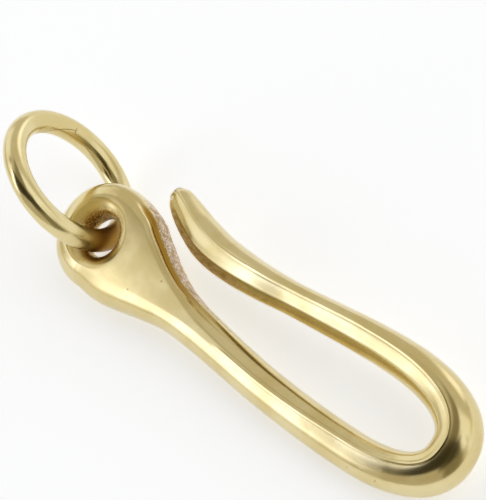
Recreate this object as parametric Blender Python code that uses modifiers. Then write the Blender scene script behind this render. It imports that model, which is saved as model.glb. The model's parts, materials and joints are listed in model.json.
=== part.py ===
"""Fish hook clasp: a solid brass hook with a flared eye, and a closed wire ring that runs loose in the eye.

The hook is drawn flat, in its own plane. Its bore axis is local Z, its length runs along local X towards
the bend, and its arm lies towards local Y. All lengths are in metres.
"""

import math

import bmesh
import bpy
import numpy as np
from mathutils import Euler, Matrix, Vector

# Eye
EYE_RADIUS = 0.0071
EYE_THICKNESS = 0.0052
BORE_WAIST_RADIUS = 0.0026
FLARE_RADIUS = 0.0050

# Neck and shank
NECK_LENGTH = 0.0206
NECK_DROP = 0.0032
SHANK_END = 0.0455
SHANK_DIAMETER = 0.0050

# Bend
BEND_LENGTH = 0.0128
BEND_HALF_WIDTH = 0.00615
BEND_OFFSET = 0.0012
BEND_SQUARENESS = 2.35
BEND_DIAMETER = 0.0057

# Arm, and the beak at its end
ARM_START = 0.0185
ARM_NEAR = 0.0060
ARM_DIAMETER = 0.0042
BEAK_WIDTH = 0.0049
BEAK_THICKNESS = 0.0044
TIP_START = 0.0055
TIP_OUT = 0.0098

# Ring
RING_INSIDE_DIAMETER = 0.0150
WIRE_DIAMETER = 0.0030
WIRE_AHEAD = -0.0002
WIRE_ASIDE = -0.0004
RING_SWING = math.radians(150.6)
RING_RISE = math.radians(18.3)
RING_TWIST = math.radians(75.1)

# How the clasp lies on a table, propped at the eye by its ring
LAY_PITCH = math.radians(1.27)
LAY_ROLL = math.radians(20.4)

# Fineness of the mesh
CORNER_STEPS = 8
EYE_STEPS = 22
STATION_COUNT = 92
ARC_STEPS = 16
BORE_STEPS = 48
RING_STEPS = 64
WIRE_STEPS = 20
CREASE_ANGLE = math.radians(40)
CUT_OVERRUN = 0.0010
SEAM_MERGE = 0.00001

# Centre line of the neck: along as shares of NECK_LENGTH, down as shares of NECK_DROP
NECK_SHARES = [(0.00, 0.00), (0.06, 0.03), (0.13, 0.12), (0.20, 0.23), (0.29, 0.37), (0.39, 0.49),
               (0.58, 0.68), (0.76, 0.82), (0.90, 0.93)]

# Centre line of the shank: along as shares of the way from the neck to the bend, down as shares of the drop
# that is left there
SHANK_SHARES = [(0.00, 0.00), (0.20, 0.34), (0.41, 0.67), (0.62, 0.88), (0.82, 0.99)]

# Centre line of the arm, from the bend back to the beak, and of the beak, out to the tip
ARM_SHARES = [(0.20, 0.15), (0.40, 0.44), (0.59, 0.74), (0.78, 0.99), (0.90, 1.05), (1.00, 1.00)]
BEAK_SHARES = [(0.20, 0.06), (0.42, 0.22), (0.61, 0.44), (0.77, 0.66), (0.90, 0.86), (1.00, 1.00)]

# Sections along the centre line. A place is a whole number where a stretch starts, and a share of that
# stretch beyond it: 0 neck, 1 shank, 2 bend, 3 arm, 4 beak, 5 the tip. A half width and a half thickness are
# a named size and a share of it. The corner shares say how much of the half width is rounded, on the open
# side and on the back, where a squareness of 2 is round. The ridge share moves the crest to the back, and
# the facet share says how far the rounding of the open side is ground flat.
SECTION_SHARES = [
    # place, width, share, thickness, share, open corner, back corner, open square, back square, ridge, facet
    (0.00, EYE_RADIUS, 1.00, EYE_THICKNESS / 2, 1.00, 0.30, 0.50, 2.6, 2.2, 0.00, 0.0),
    (0.20, EYE_RADIUS, 0.96, EYE_THICKNESS / 2, 1.00, 0.30, 0.52, 2.8, 2.2, 0.00, 0.0),
    (0.39, EYE_RADIUS, 0.78, EYE_THICKNESS / 2, 1.00, 0.34, 0.58, 3.0, 2.2, 0.00, 0.0),
    (0.58, EYE_RADIUS, 0.57, EYE_THICKNESS / 2, 1.00, 0.42, 0.68, 3.0, 2.2, 0.00, 0.0),
    (0.76, EYE_RADIUS, 0.43, EYE_THICKNESS / 2, 0.99, 0.58, 0.80, 2.8, 2.1, -0.02, 0.0),
    (0.90, EYE_RADIUS, 0.39, EYE_THICKNESS / 2, 0.98, 0.78, 0.90, 2.4, 2.0, -0.04, 0.0),
    (1.00, SHANK_DIAMETER / 2, 1.07, SHANK_DIAMETER / 2, 1.01, 0.90, 0.93, 2.2, 2.0, -0.06, 0.0),
    (1.25, SHANK_DIAMETER / 2, 1.01, SHANK_DIAMETER / 2, 1.00, 0.95, 0.95, 2.0, 2.0, -0.10, 0.0),
    (1.60, SHANK_DIAMETER / 2, 0.99, SHANK_DIAMETER / 2, 1.00, 0.95, 0.95, 2.0, 2.0, -0.16, 0.0),
    (2.00, SHANK_DIAMETER / 2, 0.99, SHANK_DIAMETER / 2, 1.00, 0.95, 0.95, 2.0, 2.0, -0.30, 0.0),
    (2.25, BEND_DIAMETER / 2, 0.89, BEND_DIAMETER / 2, 0.92, 0.95, 0.95, 2.0, 2.0, -0.32, 0.0),
    (2.50, BEND_DIAMETER / 2, 1.00, BEND_DIAMETER / 2, 1.00, 0.95, 0.95, 2.0, 2.0, -0.08, 0.0),
    (2.75, BEND_DIAMETER / 2, 0.90, BEND_DIAMETER / 2, 0.92, 0.95, 0.95, 2.0, 2.0, 0.18, 0.2),
    (3.00, ARM_DIAMETER / 2, 1.13, ARM_DIAMETER / 2, 1.13, 0.95, 0.95, 2.0, 2.0, 0.34, 0.7),
    (3.30, ARM_DIAMETER / 2, 1.05, ARM_DIAMETER / 2, 1.06, 0.95, 0.95, 2.0, 2.0, 0.42, 1.0),
    (3.60, ARM_DIAMETER / 2, 0.98, ARM_DIAMETER / 2, 1.00, 0.95, 0.95, 2.0, 2.0, 0.42, 1.0),
    (3.82, ARM_DIAMETER / 2, 1.09, ARM_DIAMETER / 2, 1.05, 0.95, 0.95, 2.0, 2.0, 0.38, 0.9),
    (4.00, BEAK_WIDTH / 2, 1.02, BEAK_THICKNESS / 2, 1.01, 0.95, 0.94, 2.0, 1.8, 0.34, 0.8),
    (4.30, BEAK_WIDTH / 2, 1.05, BEAK_THICKNESS / 2, 1.00, 0.95, 0.94, 2.0, 1.6, 0.36, 0.6),
    (4.55, BEAK_WIDTH / 2, 0.97, BEAK_THICKNESS / 2, 0.92, 0.95, 0.94, 1.9, 1.4, 0.40, 0.4),
    (4.76, BEAK_WIDTH / 2, 0.84, BEAK_THICKNESS / 2, 0.78, 0.95, 0.94, 1.9, 1.35, 0.44, 0.2),
    (4.90, BEAK_WIDTH / 2, 0.66, BEAK_THICKNESS / 2, 0.60, 0.95, 0.94, 1.9, 1.4, 0.42, 0.0),
    (4.97, BEAK_WIDTH / 2, 0.42, BEAK_THICKNESS / 2, 0.36, 0.95, 0.94, 1.9, 1.6, 0.36, 0.0),
]

# Where a facet starts and ends on the rounding, as shares of the way from its edge to its top
FACET_LOW_SHARE = 1 / 8
FACET_HIGH_SHARE = 5 / 8

BRASS_COLOUR = (0.72, 0.55, 0.24, 1.0)
BRASS_ROUGHNESS = 0.28


def empty_scene():
    """Removes whatever the scene holds."""
    for obj in list(bpy.data.objects):
        bpy.data.objects.remove(obj)


def make_collection(name):
    collection = bpy.data.collections.new(name)
    bpy.context.scene.collection.children.link(collection)
    return collection


def add_empty(name, collection, parent=None):
    empty = bpy.data.objects.new(name, None)
    collection.objects.link(empty)
    empty.parent = parent
    return empty


def brass(name):
    """Solid polished brass."""
    material = bpy.data.materials.new(name)
    material.use_nodes = True
    shader = material.node_tree.nodes["Principled BSDF"]
    shader.inputs["Base Color"].default_value = BRASS_COLOUR
    shader.inputs["Metallic"].default_value = 1.0
    shader.inputs["Roughness"].default_value = BRASS_ROUGHNESS
    return material


def hermite(places, values, tangents, wanted):
    """Values at the wanted places, on the cubic curve with the given values and tangents."""
    k = np.clip(np.searchsorted(places, wanted, side="right") - 1, 0, len(places) - 2)
    step = places[k + 1] - places[k]
    t = (wanted - places[k]) / step
    if values.ndim > 1:
        step = step[:, None]
        t = t[:, None]
    return (
        values[k] * (1 + 2 * t) * (1 - t) ** 2
        + tangents[k] * step * t * (1 - t) ** 2
        + values[k + 1] * t * t * (3 - 2 * t)
        + tangents[k + 1] * step * t * t * (t - 1)
    )


def level_tangents(places, values):
    """Tangents that let a curve pass through the values with no overshoot."""
    steps = np.diff(places)
    slopes = np.diff(values) / steps
    tangents = np.zeros(len(places))
    for i in range(1, len(places) - 1):
        if slopes[i - 1] * slopes[i] > 0:
            before = 2 * steps[i] + steps[i - 1]
            after = steps[i] + 2 * steps[i - 1]
            tangents[i] = (before + after) / (before / slopes[i - 1] + after / slopes[i])
    return tangents


def centre_line():
    """The points that the centre line passes in plan, and which of them start a stretch."""
    shank_drop = BEND_HALF_WIDTH - BEND_OFFSET
    arm_rise = BEND_HALF_WIDTH + BEND_OFFSET
    points = [(along * NECK_LENGTH, -down * NECK_DROP) for along, down in NECK_SHARES]
    starts = [0, len(points)]
    for along, down in SHANK_SHARES:
        x = NECK_LENGTH + along * (SHANK_END - NECK_LENGTH)
        y = -NECK_DROP - down * (shank_drop - NECK_DROP)
        points.append((x, y))
    starts.append(len(points))
    for i in range(ARC_STEPS + 1):
        angle = math.pi * (i / ARC_STEPS - 1 / 2)
        across = math.copysign(abs(math.sin(angle)) ** (2 / BEND_SQUARENESS), angle)
        x = SHANK_END + BEND_LENGTH * abs(math.cos(angle)) ** (2 / BEND_SQUARENESS)
        points.append((x, BEND_OFFSET + BEND_HALF_WIDTH * across))
    starts.append(len(points) - 1)
    for along, down in ARM_SHARES:
        points.append((SHANK_END - along * (SHANK_END - ARM_START), arm_rise - down * (arm_rise - ARM_NEAR)))
    starts.append(len(points) - 1)
    for along, out in BEAK_SHARES:
        points.append((ARM_START - along * (ARM_START - TIP_START), ARM_NEAR + out * (TIP_OUT - ARM_NEAR)))
    starts.append(len(points) - 1)
    return np.array(points), starts


def rounding(share, square):
    """How far a rounding reaches across, and its height: 1 is its top, 0 its edge and -1 its foot."""
    angle = math.pi / 2 * share
    across = abs(math.cos(angle)) ** (2 / square)
    height = math.copysign(abs(math.sin(angle)) ** (2 / square), math.sin(angle))
    return across, height


def half_outline(width, thickness, corner, square, facet):
    """One side of a section, from the end of its upper flat, round its rounded edge, to its lower flat."""
    radius = width * corner
    high_across, high = rounding(FACET_HIGH_SHARE, square)
    low_across, low = rounding(FACET_LOW_SHARE, square)
    outline = []
    for i in range(2 * CORNER_STEPS + 1):
        share = 1 - i / CORNER_STEPS
        across, height = rounding(share, square)
        if FACET_LOW_SHARE < abs(share) < FACET_HIGH_SHARE:
            chord = high + (low - high) * (across - high_across) / (low_across - high_across)
            height += facet * (math.copysign(chord, height) - height)
        outline.append((width - radius + radius * across, thickness * height))
    return outline


class Station:
    """One section of the hook: its crest points above and below, and its outline on both sides."""

    def __init__(self, centre, tangent, row):
        width, thickness, open_corner, back_corner, open_square, back_square, ridge, facet = row
        normal = np.array([-tangent[1], tangent[0]])
        crest = centre - normal * ridge * width
        self.crest = [(crest[0], crest[1], thickness), (crest[0], crest[1], -thickness)]
        self.sides = []
        open_shape = (open_corner, open_square, facet)
        back_shape = (back_corner, back_square, 0.0)
        for side, shape in ((1, open_shape), (-1, back_shape)):
            outline = half_outline(width * (1 + side * ridge), thickness, *shape)
            points = [crest + side * normal * across for across, height in outline]
            self.sides.append([(p[0], p[1], o[1]) for p, o in zip(points, outline)])


def stations():
    """The hook's sections, evenly spaced along its centre line, with those of the table among them."""
    points, starts = centre_line()
    lengths = np.concatenate([[0.0], np.cumsum(np.linalg.norm(np.diff(points, axis=0), axis=1))])
    line_tangents = np.gradient(points, lengths, axis=0)
    places = np.array([row[0] for row in SECTION_SHARES])
    along = np.interp(places, np.arange(len(starts)), lengths[starts])
    rows = np.array([(row[1] * row[2], row[3] * row[4], *row[5:]) for row in SECTION_SHARES])
    wanted = np.linspace(0, along[-1], STATION_COUNT)
    values = [hermite(along, column, level_tangents(along, column), wanted) for column in rows.T]
    centres = hermite(lengths, points, line_tangents, wanted)
    tangents = np.gradient(centres, wanted, axis=0)
    tangents /= np.linalg.norm(tangents, axis=1)[:, None]
    tangents[0] = (1.0, 0.0)
    made = [Station(c, t, row) for c, t, row in zip(centres, tangents, zip(*values))]
    tip = hermite(lengths, points, line_tangents, lengths[-1:])[0]
    return made, (tip[0], tip[1], 0.0)


def add_strip(mesh, first, second):
    """Faces between two rows of points."""
    for a, b, c, d in zip(first, first[1:], second[1:], second):
        corners = [v for i, v in enumerate((a, b, c, d)) if v not in (a, b, c, d)[:i]]
        mesh.faces.new(corners)


def hook_mesh():
    """The hook without its bore: a half-turned eye end, and a loft along the centre line to the tip."""
    mesh = bmesh.new()
    sections, tip = stations()
    loops = []
    for station in sections:
        top, bottom = [mesh.verts.new(p) for p in station.crest]
        open_side, back = [[mesh.verts.new(p) for p in side] for side in station.sides]
        loops.append([top, *open_side, bottom, *reversed(back), top])
    for first, second in zip(loops, loops[1:]):
        add_strip(mesh, first, second)
    end = mesh.verts.new(tip)
    for a, b in zip(loops[-1], loops[-1][1:]):
        mesh.faces.new((a, b, end))
    turned_end(mesh, sections[0], loops[0])
    bmesh.ops.recalc_face_normals(mesh, faces=mesh.faces)
    data = bpy.data.meshes.new("hook")
    mesh.to_mesh(data)
    mesh.free()
    return data


def turned_end(mesh, station, loop):
    """The round end of the eye: one side of the first section turned half a turn about the bore axis."""
    count = len(station.sides[0])
    top = loop[0]
    bottom = loop[count + 1]
    open_side = loop[1 : count + 1]
    back = list(reversed(loop[count + 2 : 2 * count + 2]))
    rows = [[top, *open_side, bottom]]
    for step in range(1, EYE_STEPS):
        share = step / EYE_STEPS
        angle = math.pi * share
        row = [top]
        for first, second in zip(*station.sides):
            radius = (1 - share) * abs(first[1]) + share * abs(second[1])
            height = (1 - share) * first[2] + share * second[2]
            row.append(mesh.verts.new((-radius * math.sin(angle), radius * math.cos(angle), height)))
        rows.append([*row, bottom])
    rows.append([top, *back, bottom])
    for first, second in zip(rows, rows[1:]):
        add_strip(mesh, second, first)


def bore_cutter(collection):
    """A turned plug with a waist: narrow in the middle of the eye, and flared at both faces."""
    half = EYE_THICKNESS / 2
    side = []
    for i in range(CORNER_STEPS + 1):
        angle = math.pi / 2 * i / CORNER_STEPS
        radius = FLARE_RADIUS - (FLARE_RADIUS - BORE_WAIST_RADIUS) * math.cos(angle)
        side.append((radius, half * math.sin(angle)))
    top = [(0.0, half + CUT_OVERRUN), (FLARE_RADIUS, half + CUT_OVERRUN), *reversed(side)]
    lower = [(radius, -height) for radius, height in reversed(top[:-1])]
    profile = [*top, *lower]
    data = bpy.data.meshes.new("bore_cutter")
    edges = [(i, i + 1) for i in range(len(profile) - 1)]
    data.from_pydata([(radius, 0.0, height) for radius, height in profile], edges, [])
    cutter = bpy.data.objects.new("bore_cutter", data)
    collection.objects.link(cutter)
    cutter.hide_render = True
    cutter.display_type = "WIRE"
    screw = cutter.modifiers.new("turn", "SCREW")
    screw.steps = BORE_STEPS
    screw.render_steps = BORE_STEPS
    screw.use_merge_vertices = True
    screw.merge_threshold = SEAM_MERGE
    return cutter


def add_hook(collection, cutters, parent):
    hook = bpy.data.objects.new("hook", hook_mesh())
    collection.objects.link(hook)
    hook.parent = parent
    hook.data.materials.append(brass("hook_brass"))
    cutter = bore_cutter(cutters)
    cutter.parent = parent
    cut = hook.modifiers.new("bore", "BOOLEAN")
    cut.operation = "DIFFERENCE"
    cut.solver = "EXACT"
    cut.object = cutter
    hook.data.shade_smooth()
    hook.data.set_sharp_from_angle(angle=CREASE_ANGLE)
    return hook


def add_ring(collection, parent):
    """The closed ring. Its pivot is on the bore axis, and its wire passes close beside it."""
    ring_radius = (RING_INSIDE_DIAMETER + WIRE_DIAMETER) / 2
    bpy.ops.mesh.primitive_torus_add(
        major_radius=ring_radius,
        minor_radius=WIRE_DIAMETER / 2,
        major_segments=RING_STEPS,
        minor_segments=WIRE_STEPS,
    )
    ring = bpy.context.object
    ring.name = "ring"
    for holder in list(ring.users_collection):
        holder.objects.unlink(ring)
    collection.objects.link(ring)
    ring.data.transform(Matrix.Translation((ring_radius, 0, 0)))
    pivot = add_empty("ring_pivot", collection, parent)
    ring.parent = pivot
    ring.location = (WIRE_AHEAD, WIRE_ASIDE, 0)
    ring.rotation_euler = Euler((RING_TWIST, -RING_RISE, RING_SWING))
    ring.data.materials.append(brass("ring_brass"))
    ring.data.shade_smooth()
    return ring


def lay_down(assembly, objects):
    """Tilts the clasp as it lies, and sets the middle of its footprint at the origin, on the table."""
    assembly.rotation_euler = Euler((LAY_ROLL, LAY_PITCH, 0))
    bpy.context.view_layer.update()
    graph = bpy.context.evaluated_depsgraph_get()
    low = Vector((math.inf,) * 3)
    high = Vector((-math.inf,) * 3)
    for obj in objects:
        shown = obj.evaluated_get(graph)
        for vertex in shown.data.vertices:
            point = shown.matrix_world @ vertex.co
            low = Vector(map(min, low, point))
            high = Vector(map(max, high, point))
    middle = (low + high) / 2
    assembly.location = (-middle.x, -middle.y, -low.z)
    bpy.context.view_layer.update()


def main():
    empty_scene()
    parts = make_collection("fish_hook_clasp")
    cutters = make_collection("cutters")
    assembly = add_empty("clasp", parts)
    hook = add_hook(parts, cutters, assembly)
    ring = add_ring(parts, assembly)
    lay_down(assembly, (hook, ring))


main()
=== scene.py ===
"""Looks of the fish hook clasp: the polished cast hook and its loose wire ring, on a pale studio floor.

The hook and the ring are made again here from the same sizes as their solids, with finer faces and with
what polishing and casting leave on them. Lengths are in metres. A piece is made in the hook's own frame:
bore axis along Z, length along X, arm towards Y.
"""

import json
import math

import bmesh
import bpy
import numpy as np
from mathutils import Euler, Matrix, Vector


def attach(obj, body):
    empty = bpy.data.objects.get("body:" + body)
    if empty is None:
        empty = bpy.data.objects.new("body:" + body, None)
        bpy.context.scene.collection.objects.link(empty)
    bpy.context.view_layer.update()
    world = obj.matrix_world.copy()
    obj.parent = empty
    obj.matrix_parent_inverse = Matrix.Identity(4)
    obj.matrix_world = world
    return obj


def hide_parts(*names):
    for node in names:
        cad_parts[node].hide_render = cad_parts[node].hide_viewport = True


# Eye
EYE_RADIUS = 0.0071
EYE_THICKNESS = 0.0052
BORE_WAIST_RADIUS = 0.0026
FLARE_RADIUS = 0.0050

# Neck and shank
NECK_LENGTH = 0.0206
NECK_DROP = 0.0032
SHANK_END = 0.0455
SHANK_DIAMETER = 0.0050

# Bend
BEND_LENGTH = 0.0128
BEND_HALF_WIDTH = 0.00615
BEND_OFFSET = 0.0012
BEND_SQUARENESS = 2.35
BEND_DIAMETER = 0.0057

# Arm and beak
ARM_START = 0.0185
ARM_NEAR = 0.0060
ARM_DIAMETER = 0.0042
BEAK_WIDTH = 0.0049
BEAK_THICKNESS = 0.0044
TIP_START = 0.0055
TIP_OUT = 0.0098

# Ring
RING_INSIDE_DIAMETER = 0.0150
WIRE_DIAMETER = 0.0030
RING_RADIUS = (RING_INSIDE_DIAMETER + WIRE_DIAMETER) / 2
WIRE_RADIUS = WIRE_DIAMETER / 2
WIRE_AHEAD = -0.0002
WIRE_ASIDE = -0.0004
RING_SWING = math.radians(150.6)
RING_RISE = math.radians(18.3)
RING_TWIST = math.radians(75.1)

# How the clasp lies
LAY_PITCH = math.radians(1.27)
LAY_ROLL = math.radians(20.4)

# Fineness of the mesh
CORNER_STEPS = 44
EYE_STEPS = 64
STATION_COUNT = 280
ARC_STEPS = 16
BORE_STEPS = 128
FLARE_STEPS = 20
RING_STEPS = 220
WIRE_STEPS = 48
CUT_OVERRUN = 0.0010
SEAM_MERGE = 0.00001
CREASE_ANGLE = math.radians(50)

# Centre line, as in the solids: shares along and shares aside
NECK_SHARES = [(0.00, 0.00), (0.06, 0.03), (0.13, 0.12), (0.20, 0.23), (0.29, 0.37), (0.39, 0.49),
               (0.58, 0.68), (0.76, 0.82), (0.90, 0.93)]
SHANK_SHARES = [(0.00, 0.00), (0.20, 0.34), (0.41, 0.67), (0.62, 0.88), (0.82, 0.99)]
ARM_SHARES = [(0.20, 0.15), (0.40, 0.44), (0.59, 0.74), (0.78, 0.99), (0.90, 1.05), (1.00, 1.00)]
BEAK_SHARES = [(0.20, 0.06), (0.42, 0.22), (0.61, 0.44), (0.77, 0.66), (0.90, 0.86), (1.00, 1.00)]

# Sections along the centre line, as in the solids. A place is a whole number where a stretch starts:
# 0 neck, 1 shank, 2 bend, 3 arm, 4 beak, 5 the tip.
SECTION_SHARES = [
    # place, width, share, thickness, share, open corner, back corner, open square, back square, ridge, facet
    (0.00, EYE_RADIUS, 1.00, EYE_THICKNESS / 2, 1.00, 0.30, 0.50, 2.6, 2.2, 0.00, 0.0),
    (0.20, EYE_RADIUS, 0.96, EYE_THICKNESS / 2, 1.00, 0.30, 0.52, 2.8, 2.2, 0.00, 0.0),
    (0.39, EYE_RADIUS, 0.78, EYE_THICKNESS / 2, 1.00, 0.34, 0.58, 3.0, 2.2, 0.00, 0.0),
    (0.58, EYE_RADIUS, 0.57, EYE_THICKNESS / 2, 1.00, 0.42, 0.68, 3.0, 2.2, 0.00, 0.0),
    (0.76, EYE_RADIUS, 0.43, EYE_THICKNESS / 2, 0.99, 0.58, 0.80, 2.8, 2.1, -0.02, 0.0),
    (0.90, EYE_RADIUS, 0.39, EYE_THICKNESS / 2, 0.98, 0.78, 0.90, 2.4, 2.0, -0.04, 0.0),
    (1.00, SHANK_DIAMETER / 2, 1.07, SHANK_DIAMETER / 2, 1.01, 0.90, 0.93, 2.2, 2.0, -0.06, 0.0),
    (1.25, SHANK_DIAMETER / 2, 1.01, SHANK_DIAMETER / 2, 1.00, 0.95, 0.95, 2.0, 2.0, -0.10, 0.0),
    (1.60, SHANK_DIAMETER / 2, 0.99, SHANK_DIAMETER / 2, 1.00, 0.95, 0.95, 2.0, 2.0, -0.16, 0.0),
    (2.00, SHANK_DIAMETER / 2, 0.99, SHANK_DIAMETER / 2, 1.00, 0.95, 0.95, 2.0, 2.0, -0.30, 0.0),
    (2.25, BEND_DIAMETER / 2, 0.89, BEND_DIAMETER / 2, 0.92, 0.95, 0.95, 2.0, 2.0, -0.32, 0.0),
    (2.50, BEND_DIAMETER / 2, 1.00, BEND_DIAMETER / 2, 1.00, 0.95, 0.95, 2.0, 2.0, -0.08, 0.0),
    (2.75, BEND_DIAMETER / 2, 0.90, BEND_DIAMETER / 2, 0.92, 0.95, 0.95, 2.0, 2.0, 0.18, 0.2),
    (3.00, ARM_DIAMETER / 2, 1.13, ARM_DIAMETER / 2, 1.13, 0.95, 0.95, 2.0, 2.0, 0.34, 0.7),
    (3.30, ARM_DIAMETER / 2, 1.05, ARM_DIAMETER / 2, 1.06, 0.95, 0.95, 2.0, 2.0, 0.42, 1.0),
    (3.60, ARM_DIAMETER / 2, 0.98, ARM_DIAMETER / 2, 1.00, 0.95, 0.95, 2.0, 2.0, 0.42, 1.0),
    (3.82, ARM_DIAMETER / 2, 1.09, ARM_DIAMETER / 2, 1.05, 0.95, 0.95, 2.0, 2.0, 0.38, 0.9),
    (4.00, BEAK_WIDTH / 2, 1.02, BEAK_THICKNESS / 2, 1.01, 0.95, 0.94, 2.0, 1.8, 0.34, 0.8),
    (4.30, BEAK_WIDTH / 2, 1.05, BEAK_THICKNESS / 2, 1.00, 0.95, 0.94, 2.0, 1.6, 0.36, 0.6),
    (4.55, BEAK_WIDTH / 2, 0.97, BEAK_THICKNESS / 2, 0.92, 0.95, 0.94, 1.9, 1.4, 0.40, 0.4),
    (4.76, BEAK_WIDTH / 2, 0.84, BEAK_THICKNESS / 2, 0.78, 0.95, 0.94, 1.9, 1.35, 0.44, 0.2),
    (4.90, BEAK_WIDTH / 2, 0.66, BEAK_THICKNESS / 2, 0.60, 0.95, 0.94, 1.9, 1.4, 0.42, 0.0),
    (4.97, BEAK_WIDTH / 2, 0.42, BEAK_THICKNESS / 2, 0.36, 0.95, 0.94, 1.9, 1.6, 0.36, 0.0),
]

# Where a facet starts and ends on the rounding, as shares of the way from its edge to its top, and how
# flat it is: 1 in the solids, and a little less where the wheel has softened it
FACET_LOW_SHARE = 1 / 8
FACET_HIGH_SHARE = 5 / 8
FACET_FLATNESS = 0.85

# The gap side of the eye and neck: a polished ridge, a groove under it, and the wall left as cast. Each row
# is a place, the groove's depth as a share of GROOVE_DEPTH, and how much of the wall is left as cast. The
# angles are round the section's edge, from its middle.
GROOVE_DEPTH = 0.00042
GROOVE_SHARES = [(0.00, 0.00, 0.00), (0.08, 0.25, 0.40), (0.18, 0.85, 1.00), (0.30, 1.00, 1.00),
                 (0.60, 0.80, 1.00), (0.80, 0.55, 0.85), (0.95, 0.30, 0.50), (1.30, 0.08, 0.25),
                 (1.60, 0.00, 0.10), (2.00, 0.00, 0.00)]
RIDGE_SHARE = 0.05
RIDGE_END = math.radians(78)
RIDGE_CREST = math.radians(66)
GROOVE_FLOOR = math.radians(47)
GROOVE_FOOT = math.radians(21)
WALL_START = math.radians(12)
WALL_END = math.radians(38)

# A painted reflection of the shank and the shaded floor, drawn as deeper gold along the arm's gap side,
# where the metal is also a little duller: a place and a share. It fades between the two angles from the
# middle of the edge.
REFLECTION_AND_DULLING_SHARES = [(2.60, 0.00), (2.90, 0.60), (4.10, 0.75), (4.50, 0.60), (4.85, 0.00)]
REFLECTION_AND_DULLING_START = math.radians(4)
REFLECTION_AND_DULLING_END = math.radians(15)

# The fine bead that the two halves of the polishing leave along the crest: a place and a share
BEAD_HEIGHT = 0.00005
BEAD_SHARES = [(1.15, 0.0), (1.50, 0.5), (1.90, 1.0), (2.30, 1.0), (2.50, 0.6), (2.72, 0.3), (3.00, 0.9),
               (3.80, 1.0), (4.60, 0.9), (4.90, 0.0)]

# Camera, in the hook's frame
CAMERA_PLACE = Vector((0.1796, 0.0162, 0.2322))
CAMERA_RIGHT = Vector((0.69494, 0.51818, -0.49854))
CAMERA_UP = Vector((-0.44049, 0.85478, 0.27444))
CAMERA_LENS = 165.6
CAMERA_SENSOR = 36.0
CAMERA_NEAR = 0.01
CAMERA_FAR = 10.0

# Patterns of the finish: their sizes on the metal along three axes, and how many finer layers they have. On
# the hook's skin the first axis runs along the metal and the second round it. The wheel's real streaks and
# scratches are too fine to show, so they are drawn coarser.
SAND_GRAIN = ((0.00022, 0.00022, 0.00022), 3.0)
SAND_CLUMPS = ((0.00088, 0.00088, 0.00088), 2.0)
HOOK_WAVES = ((0.0048, 0.0024, 0.0024), 1.0)
WIRE_WAVES = ((0.0024, 0.0024, 0.0024), 1.0)
TONE = ((0.0050, 0.0050, 0.0050), 4.0)
STREAKS = ((0.0090, 0.00022, 1.0), 3.0)
SCRATCHES = ((0.0030, 0.00005, 1.0), 2.0)
DRAWN_LINES = ((0.00022, 0.00022, 0.0090), 3.0)

# A pattern's values run from about 0.3 to 0.7. What it brings fades in between two of them.
WHOLE_RANGE = (0.30, 0.70)
TONE_FADE = (0.35, 0.65)
GRAIN_FADE = (0.40, 0.60)
CLUMP_FADE = (0.45, 0.65)
STREAK_FADE = (0.40, 0.75)
SCRATCH_FADE = (0.62, 0.75)

# How deep each pattern is in the metal. Scratches have one share of their depth all over, and another is
# added where the bend is rubbed.
HOOK_WAVE_DEPTH = 0.000012
WIRE_WAVE_DEPTH = 0.000006
STREAK_DEPTH = 0.000002
SCRATCH_DEPTH = 0.0000015
GRAIN_DEPTH = 0.00009
SCRATCH_SHARE = 0.6
RUBBED_SHARE = 3.0

# Where the wheel didn't reach the hook. The grain frays the border of the wall, and the border in the bore
# wanders. The bore's darker gold is partly painted shade: its middle sits a little off the bore's axis, on
# the bore's shaded side.
WALL_BORDER = (0.35, 0.75)
WALL_FRAY = 0.22
GROOVE_BORDER = (0.15, 0.75)
SHADED_BORE = (0.0004, 0.0003, 0.0)
BORE_SKIN = 0.0037
BORE_FRAY = 0.0007
BORE_WANDER = 0.0002
FLARE_BORDER = (FLARE_RADIUS * 1.1, FLARE_RADIUS * 0.9)

# The wheel's doming of the cheeks: how far it reaches from their middle line, how that line slants, where
# the cheeks end, and how much they dome
CHEEK_REACH = 0.0060
CHEEK_SLANT = 0.19
CHEEK_END = 0.024
CHEEK_DOME = 0.00045

# The fine line along the crest: how far it reaches to each side, and from where along the hook
CREST_REACH = 0.00026
CREST_HEIGHT = 0.00005
CREST_START = 0.0230
CREST_FULL = 0.0300

# Pin holes all over the hook, pits in the bend, and the place where the bend is rubbed
PIN_HOLE_SPACING = 0.0032
PIN_HOLE_SIZE = 0.000096
PIT_SIZE = 0.00016
PIT_DEPTH = 0.00006
PIT_PLACES = [(0.0484, -0.0067, 0.0017), (0.0525, -0.0062, 0.0017)]
RUBBED_PLACE = (0.0514, -0.0049, 0.0026)
RUBBED_SIZE = 0.0022

# Roughness: of the polished metal, at its brightest and dullest, what a trace adds to it, and the least that
# the metal left as cast has
HOOK_ROUGHNESS = (0.15, 0.19)
WIRE_ROUGHNESS = (0.17, 0.22)
STREAK_ROUGHNESS = 0.02
FLARE_ROUGHNESS = 0.07
RUBBED_ROUGHNESS = 0.05
GROOVE_ROUGHNESS = 0.12
WALL_ROUGHNESS = 0.46
BORE_ROUGHNESS = 0.36
BURR_ROUGHNESS = 0.20
IN_EYE_ROUGHNESS = 0.15

# The brazed seam runs aslant on the wire's inside, and a small burr is left there. Turns are round the ring
# from the side away from the eye, angles are round the wire from the ring's outside, and the seam's two
# fades are turns in radians. The burr's place is measured outwards from the wire's middle.
SEAM_START = math.radians(-38)
SEAM_START_FADE = 0.02
SEAM_END = math.radians(-7)
SEAM_END_FADE = 0.05
SEAM_ANGLE = math.radians(190)
SEAM_SLANT = 1.6
SEAM_WIDTH = 0.00007
SEAM_CORE = SEAM_WIDTH / 3
SQUARE_END = (SEAM_WIDTH * 6, SEAM_WIDTH * 5)
SEAM_WOBBLE = 0.00007
SEAM_DEPTH = 0.00003
BURR_TURN = math.radians(6)
BURR_PLACE = (-0.0013, -0.00145)
IN_EYE_START = math.radians(140)
IN_EYE_FULL = math.radians(172)

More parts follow.
